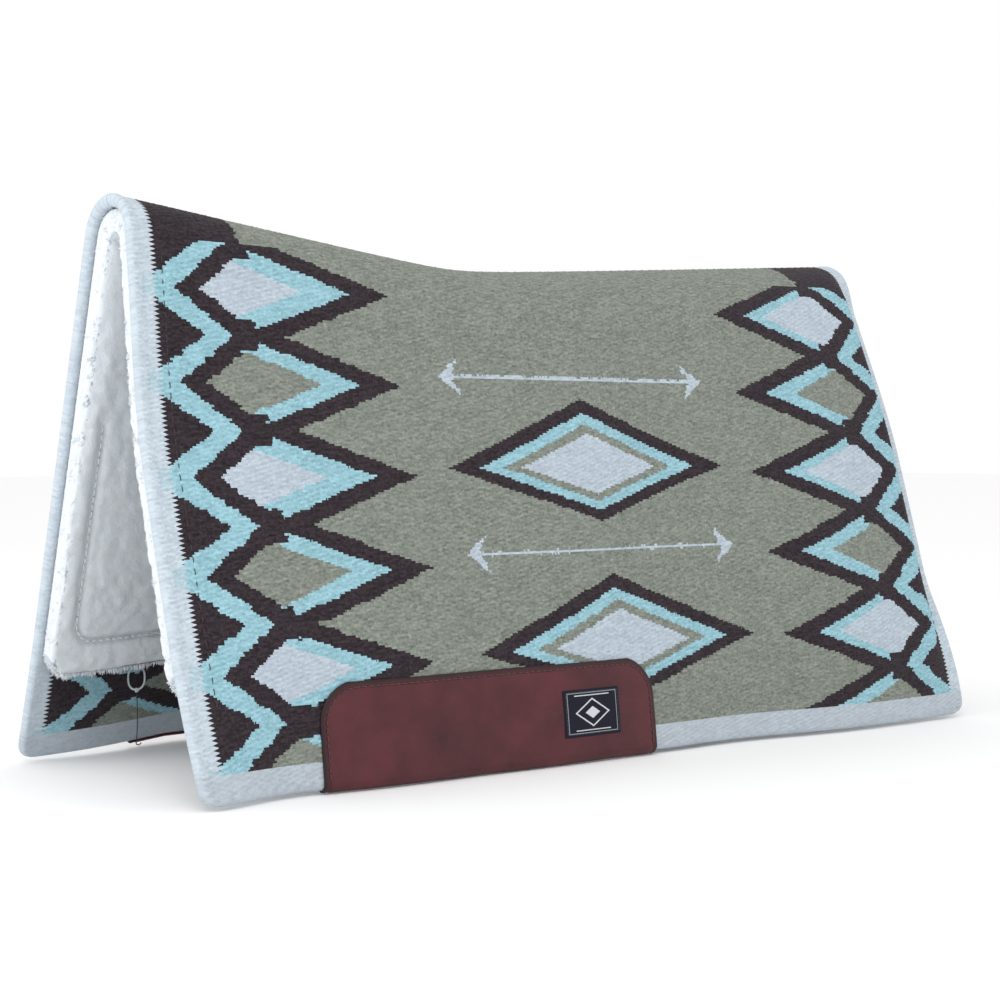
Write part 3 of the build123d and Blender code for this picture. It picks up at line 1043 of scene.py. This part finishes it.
def tuft(root, ahead, length, width):
    """One tapering curl of pile, in flat places and depths."""
    sag = np.array((0, -0.25, 0)) * length
    ring = np.array([(1, 0), (-0.5, 0.87), (-0.5, -0.87)]) * width
    across = unit(np.cross(ahead, (0.2, 0.9, 0.4)))
    other = np.cross(ahead, across)
    base = [root + a * across + b * other for a, b in ring]
    bend = root + ahead * length * 0.55 + sag * 0.3
    middle = [bend + 0.6 * (a * across + b * other) for a, b in ring]
    tip = root + ahead * length + sag
    faces = [(2, 1, 0)]
    for i in range(3):
        j = (i + 1) % 3
        faces += [(i, j, 3 + j, 3 + i), (3 + i, 3 + j, 6)]
    return np.array(base + middle + [tip]), faces


def round_the_bottom(inset, low, top, step, corner_steps):
    """Flat places down the front of the pad from a top, along a lower edge and up the rear."""
    front = FRONT_X + inset
    half = [(front, rise) for rise in np.arange(top, low + LINER_CORNER, -step)]
    half += rounded_corner(front, low, LINER_CORNER, corner_steps)
    half += [(x, low) for x in np.arange(half[-1][0] + step, MIDDLE_X, step)]
    return np.array(both_ends(half, MIDDLE_X))


def liner_rim():
    """Flat places round the liner's free edges, with their outward directions."""
    path = round_the_bottom(LINER_INSET, LINER_RISE, SLAB_TOP, 6 * MM, 8)
    ahead = unit(np.gradient(path, axis=0))
    return path, np.stack([ahead[:, 1], -ahead[:, 0]], axis=1)


def fleece_tufts():
    """A fringe of pile round the liner's rim in flat coordinates, longest at the bottom."""
    rng = np.random.default_rng(SEED + 6)
    path, out = liner_rim()
    parts = []
    for _ in range(TUFTS_ON_RIM):
        here = rng.uniform(0, len(path) - 1)
        i = int(here)
        spot = path[i] + (path[i + 1] - path[i]) * (here - i)
        share = rng.uniform(-0.9, 0.9)
        depth = (LINER_DEPTH + INNER_DEPTH) / 2 + share * (INNER_DEPTH - LINER_DEPTH) / 2
        inward = 3 * MM * (1 - math.sqrt(1 - share * share)) + 1 * MM
        root = np.array((*(spot - out[i] * inward), depth))
        ahead = np.array((*out[i], 0.7 * share)) + rng.normal(0, 0.35, 3)
        clump = 0.75 + 0.25 * math.sin(here * 1.9) * math.sin(here * 0.53)
        length = TUFT_LENGTH * rng.uniform(0.5, 1.0) * clump * (0.45 + 0.55 * abs(out[i][1]))
        parts.append(tuft(root, unit(ahead), length, TUFT_WIDTH))
    return join(parts)


def fleece_pile(side, tufts):
    """The curls, laid along the draped liner."""
    flat, faces = tufts
    x, rise, depth = flat.T
    points = place(x, on_ridge(x, rise), np.minimum(depth, ridge_radius(x) - 2 * MM), side)
    name = "fleece_pile_" + side_name(side)
    piece = mesh_object(name, points, faces, FLEECE_TIPS, side == LEFT)
    bend_with(piece, side)


def quilting_thread(side):
    """Stitches along the bottom of the channel."""
    inset = LINER_INSET + QUILTING_END_INSET
    path = round_the_bottom(inset, LINER_RISE + QUILTING_LOW_INSET, QUILTING_TOP, 4 * MM, 12)
    lay = lay_at(side, INNER_DEPTH - CHANNEL_DEPTH + PUFF_HEIGHT, way=-1)
    name = side_name(side)
    piece = sewing("quilting_" + name, [path], (6.5, 5.4, 0.9), lay, QUILTING, 1)
    bend_with(piece, side, name + "_quilting_thread")


# ---- Stitches in the blanket ----
EDGE_ROW_INSET = 26 * MM
EDGE_ROW_LOW = 72 * MM
EDGE_ROW_HIGH = 430 * MM


def edge_stitches(side):
    """Two rows of dark stitches, one beside the front edge and one beside the rear edge."""
    rows = (FRONT_X + EDGE_ROW_INSET, REAR_X - EDGE_ROW_INSET)
    paths = [[(x, EDGE_ROW_LOW), (x, EDGE_ROW_HIGH)] for x in rows]
    name = side_name(side)
    lay = lay_at(side, -0.1 * MM)
    piece = sewing("edge_stitches_" + name, paths, (9, 5.2, 0.4), lay, DARK_THREAD, 2)
    bend_with(piece, side, name + "_edge_stitches")


def ridge_stitches():
    """Slanting stitches over the seam along the ridge."""
    rng = np.random.default_rng(SEED + 3)
    pitch = 10 * MM
    rounding = 40 * MM
    t = np.linspace(-1, 1, 9)
    across = t * 4 * MM
    sunk_ends = 0.5 * MM * np.abs(t) ** 4
    parts = []
    for x in np.arange(FRONT_X + pitch / 2, REAR_X, pitch):
        along = x + t * rng.normal(1.6 * MM, 0.3 * MM)
        up = ridge_height(along) + 0.15 * MM - sunk_ends - across ** 2 / (2 * rounding)
        parts.append(tube(np.stack([along, across, up], axis=1), 0.4 * MM))
    held_parts("ridge_stitches", parts, DARK_THREAD, "ridge")


# ---- Wear leather, folded under the hem ----
LEATHER_FRONT = FRONT_X + 110 * MM
LEATHER_LENGTH = 333 * MM
LEATHER_HEIGHT = 79 * MM
LEATHER_CORNER = 34 * MM
LEATHER_THICK = 2.4 * MM
LEATHER_GAP = 0.3 * MM
LEATHER_STITCH_INSET = 5 * MM
FOLD_RADIUS = BLANKET / 2
FOLD_LENGTH = math.pi * FOLD_RADIUS
FOLD_SHARE = 0.7  # of the way round the hem


def wrap(side, lift):
    """Lays (x, distance up from the fold) on the outside of the blanket and round its hem."""
    def lay(flat, depth):
        x, up = flat.T
        off = lift - depth
        angle = np.clip(-up / FOLD_RADIUS, 0, math.pi)
        reach = FOLD_RADIUS + off
        rise = HEM_LIFT + np.clip(up, 0, None) - reach * np.sin(angle)
        return place(x, rise, FOLD_RADIUS - reach * np.cos(angle), side)
    return lay


def leather_plan(columns, rows):
    low = LEATHER_THICK / 2 - FOLD_LENGTH * FOLD_SHARE
    up = np.linspace(low, LEATHER_HEIGHT - LEATHER_THICK / 2, rows)[None, :]
    x = np.linspace(0, 1, columns)[:, None]
    inset = corner_inset(LEATHER_HEIGHT - up, LEATHER_CORNER) * 0.998 + LEATHER_THICK / 2
    across = LEATHER_FRONT + inset + x * (LEATHER_LENGTH - 2 * inset)
    return np.stack([across, up + 0 * across], axis=-1)


def inside_leather(flat):
    """Distance in from the sewn edges of the leather."""
    low = (LEATHER_FRONT, -1)
    high = (LEATHER_FRONT + LEATHER_LENGTH, LEATHER_HEIGHT)
    return -rounded_box_distance(flat, low, high, LEATHER_CORNER)


def wear_leather(side):
    plan = leather_plan(200, 64)
    lift = LEATHER_GAP + LEATHER_THICK
    bare = wrap(side, lift)

    def lay(flat, depth):
        inside = inside_leather(flat)
        groove = 0.7 * MM * hump(inside, LEATHER_STITCH_INSET, 1.4 * MM)
        shoulder = 0.5 * MM * smooth(1 - inside / (4 * MM))
        creases = lumps(np.stack([flat[:, 0], flat[:, 1] * 1.6, 0 * inside], axis=1), 45 * MM, 4)
        relief = (groove + shoulder - 0.5 * MM * creases) * (depth < LEATHER_THICK / 2)
        return bare(flat, depth + relief)

    points, flat, depth, faces = closed_sheet(plan, plan, LEATHER_THICK, lay)
    name = side_name(side)
    piece = mesh_object("wear_leather_" + name, points, faces, LEATHER_SKIN, side == RIGHT)
    edge = np.clip(inside_leather(flat), 0, None) / MM
    store(piece, np.stack([flat[:, 0] / MM, flat[:, 1] / MM, edge], axis=1))
    hold(piece, flank(side), name + "_wear_leather")


def leather_stitches(side):
    inset = LEATHER_STITCH_INSET
    front = LEATHER_FRONT + inset
    top = LEATHER_HEIGHT - inset
    radius = LEATHER_CORNER - inset
    half = [(front, 2 * MM)] + rounded_corner(front, top, radius, 10, way=-1)
    path = both_ends(half, LEATHER_FRONT + LEATHER_LENGTH / 2)
    lay = wrap(side, LEATHER_GAP + LEATHER_THICK - 0.4 * MM)
    name = side_name(side)
    piece = sewing("leather_stitches_" + name, [path], (6, 4.6, 0.5), lay, LEATHER_THREAD, 4)
    hold(piece, flank(side), name + "_leather_stitches")


# ---- Label on the left leather ----
LABEL_LENGTH = 60 * MM
LABEL_HEIGHT = 40 * MM
LABEL_THICK = 0.8 * MM
LABEL_MIDDLE = np.array((FRONT_X + 371 * MM, 15 * MM + LABEL_HEIGHT / 2))


def label():
    across = np.linspace(-1, 1, 91)[:, None] * (LABEL_LENGTH / 2)
    up = np.linspace(-1, 1, 64)[None, :] * (LABEL_HEIGHT / 2)
    plan = LABEL_MIDDLE + np.stack(np.broadcast_arrays(across, up), axis=-1)
    bare = wrap(LEFT, LEATHER_GAP + LEATHER_THICK + LABEL_THICK + 0.1 * MM)

    def lay(flat, depth):
        off_middle = np.abs(flat - LABEL_MIDDLE) / (LABEL_LENGTH / 2, LABEL_HEIGHT / 2)
        edge = smooth((off_middle.max(axis=1) - 0.86) / 0.1)
        ribs = 0.06 * MM * np.sin(flat[:, 1] / (0.7 * MM))
        return bare(flat, depth + (0.22 * MM * edge + ribs) * (depth < LABEL_THICK / 2))

    points, flat, depth, faces = closed_sheet(plan, plan, LABEL_THICK, lay)
    piece = mesh_object("label", points, faces, LABEL_CLOTH)
    store(piece, np.column_stack([(flat - LABEL_MIDDLE) / MM, depth]))
    hold(piece, "left_flank", "label")


def label_stitches():
    reach = np.array((LABEL_LENGTH, LABEL_HEIGHT)) / 2 - 1.8 * MM
    corners = [(-1, -1), (1, -1), (1, 1), (-1, 1), (-1, -1)]
    path = [LABEL_MIDDLE + reach * corner for corner in corners]
    lay = wrap(LEFT, LEATHER_GAP + LEATHER_THICK + LABEL_THICK)
    piece = sewing("label_stitches", [path], (3.5, 2.6, 0.35), lay, LABEL_THREAD, 5)
    hold(piece, "left_flank", "label_stitches")


# ---- Hang loop inside the right flank ----
def loop_place(along, up, out=0.0):
    """Point in the loop's upright plane: distances along the hem, up and out from the loop's pivot."""
    pivot = Vector(LOOP_SWING["pos_m"])
    axis = -Vector(LOOP_SWING["axis"])
    return np.array(pivot + axis * along + Vector((0, 0, 1)) * up + Vector((-axis.y, axis.x, 0)) * out)


def twisted(points, radius, turns, strands=2):
    """Cord of a few strands that wind round each other."""
    points = np.asarray(points, float)
    ahead = unit(np.gradient(points, axis=0))
    across = unit(np.cross(ahead, (0.05, 1.0, 0.11)))
    other = np.cross(ahead, across)
    parts = []
    for number in range(strands):
        angle = np.linspace(0, turns * 2 * math.pi, len(points)) + number * 2 * math.pi / strands
        wound = across * np.cos(angle)[:, None] + other * np.sin(angle)[:, None]
        parts.append(tube(points + wound * radius * 0.48, radius * 0.58, 7))
    return join(parts)


def loop_cord():
    width, _, height = Vector(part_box("loop_cord")[1]) - Vector(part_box("loop_cord")[0])
    radius = 0.9 * MM
    t = np.linspace(0, 2 * math.pi, 160)
    squareness = 0.8
    along = np.sign(np.sin(t)) * np.abs(np.sin(t)) ** squareness * (width / 2 - radius)
    up = (np.sign(np.cos(t)) * np.abs(np.cos(t)) ** squareness - 1) * (height / 2 - radius)
    ring = np.array([loop_place(a, u, 0.25 * MM * math.sin(3 * s)) for a, u, s in zip(along, up, t)])
    knot = []
    for a in np.linspace(0, 2 * math.pi, 90):
        reach = (1.5 + 0.5 * math.cos(3 * a)) * 0.8 * MM
        knot_up = 2 * radius - height - 0.6 * MM + reach * math.sin(2 * a)
        knot.append(loop_place(reach * math.cos(2 * a), knot_up, 0.55 * MM * math.sin(3 * a)))
    parts = [twisted(ring, radius, 22), tube(knot, 0.55 * MM, 8)]
    held_parts("loop_cord", parts, CORD, "hang_loop")


def loop_tail():
    """Loose thread end that hangs from the knot and curls at its tip."""
    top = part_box("loop_tail")[1][2] + 1.5 * MM - loop_place(0, 0)[2]
    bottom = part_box("loop_tail")[0][2] - loop_place(0, 0)[2]
    t = np.linspace(0, 1, 70)
    along = 0.8 * MM * np.sin(t * 5.0) + 5 * MM * smooth((t - 0.8) / 0.2)
    up = top + (bottom - top) * np.sin(np.clip(t / 0.93, 0, 1) * math.pi / 2) ** 1.1
    up = up + 1.5 * MM * smooth((t - 0.9) / 0.1)
    line = np.array([loop_place(a, u) for a, u in zip(along, up)])
    held_parts("loop_tail", [twisted(line, 0.55 * MM, 14)], DARK_THREAD, "hang_loop")


def loop_tack():
    """Short bar of stitches that holds the top of the loop to the blanket's inner face."""
    parts = []
    for number in range(7):
        along = (number - 3) * 0.6 * MM
        line = [loop_place(along + 0.15 * MM * s, 1.9 * MM * s, (0.3 - math.sqrt(1.01 - s * s)) * MM)
                for s in np.linspace(-1, 1, 9)]
        parts.append(tube(line, 0.36 * MM))
    held_parts("loop_tack", parts, CORD, "right_flank")


# ---- Every piece, the held ones on their bodies ----
flat_liner, liner_points = fleece_slab()
tufts = fleece_tufts()
for side in (LEFT, RIGHT):
    blanket(side)
    liner(side, flat_liner, liner_points)
    fleece_pile(side, tufts)
    quilting_thread(side)
    edge_stitches(side)
    wear_leather(side)
    leather_stitches(side)
bpy.data.objects.remove(flat_liner)
ridge_stitches()
label()
label_stitches()
loop_cord()
loop_tail()
loop_tack()


# ---- Floor, light and camera ----
def aim_from(thing, spot, aim):
    thing.location = spot
    thing.rotation_euler = (Vector(aim) - Vector(spot)).to_track_quat("-Z", "Y").to_euler()


def area_light(name, spot, size, power):
    data = bpy.data.lights.new(name, "AREA")
    data.size = size
    data.energy = power
    aim_from(new_object(name, data), spot, (0, 0, RIDGE_TOP / 2))


def pale_floor():
    reach = 12.0
    corners = [(-reach, -reach, 0), (reach, -reach, 0), (reach, reach, 0), (-reach, reach, 0)]
    mesh = new_mesh("floor", corners, [(0, 1, 2, 3)])
    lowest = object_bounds()[0][2]
    floor = new_object("floor", mesh)
    floor.location.z = lowest - 0.5 * MM
    paper = bpy.data.materials.new("floor")
    paper.use_nodes = True
    shader = paper.node_tree.nodes["Principled BSDF"]
    shader.inputs["Base Color"].default_value = (0.96, 0.96, 0.96, 1)
    shader.inputs["Roughness"].default_value = 0.9
    mesh.materials.append(paper)


def studio():
    world = bpy.data.worlds.new("studio")
    world.use_nodes = True
    light = world.node_tree.nodes["Background"]
    light.inputs["Color"].default_value = (1.0, 1.0, 1.0, 1)
    light.inputs["Strength"].default_value = 1.0
    bpy.context.scene.world = world
    bpy.context.scene.view_settings.view_transform = "Standard"
    area_light("key", (-1.6, -1.9, 2.4), 1.6, 23)
    area_light("fill", (-2.6, 0.4, 0.9), 1.8, 17)


# The camera looks at the left flank from its front quarter, a little above the middle of the pad
VIEW_AZIMUTH = math.radians(-40.05)
VIEW_PITCH = math.radians(1.74)
VIEW_DISTANCE = 1.796
AIM = Vector((-0.013, 0.010, 0.215))


def view_camera():
    back = Vector((math.sin(VIEW_AZIMUTH), -math.cos(VIEW_AZIMUTH), math.tan(VIEW_PITCH))).normalized()
    data = bpy.data.cameras.new("view")
    data.lens = 70.8
    data.sensor_width = 36
    camera = new_object("view", data)
    aim_from(camera, AIM + back * VIEW_DISTANCE, AIM)
    bpy.context.scene.camera = camera


pale_floor()
studio()
view_camera()
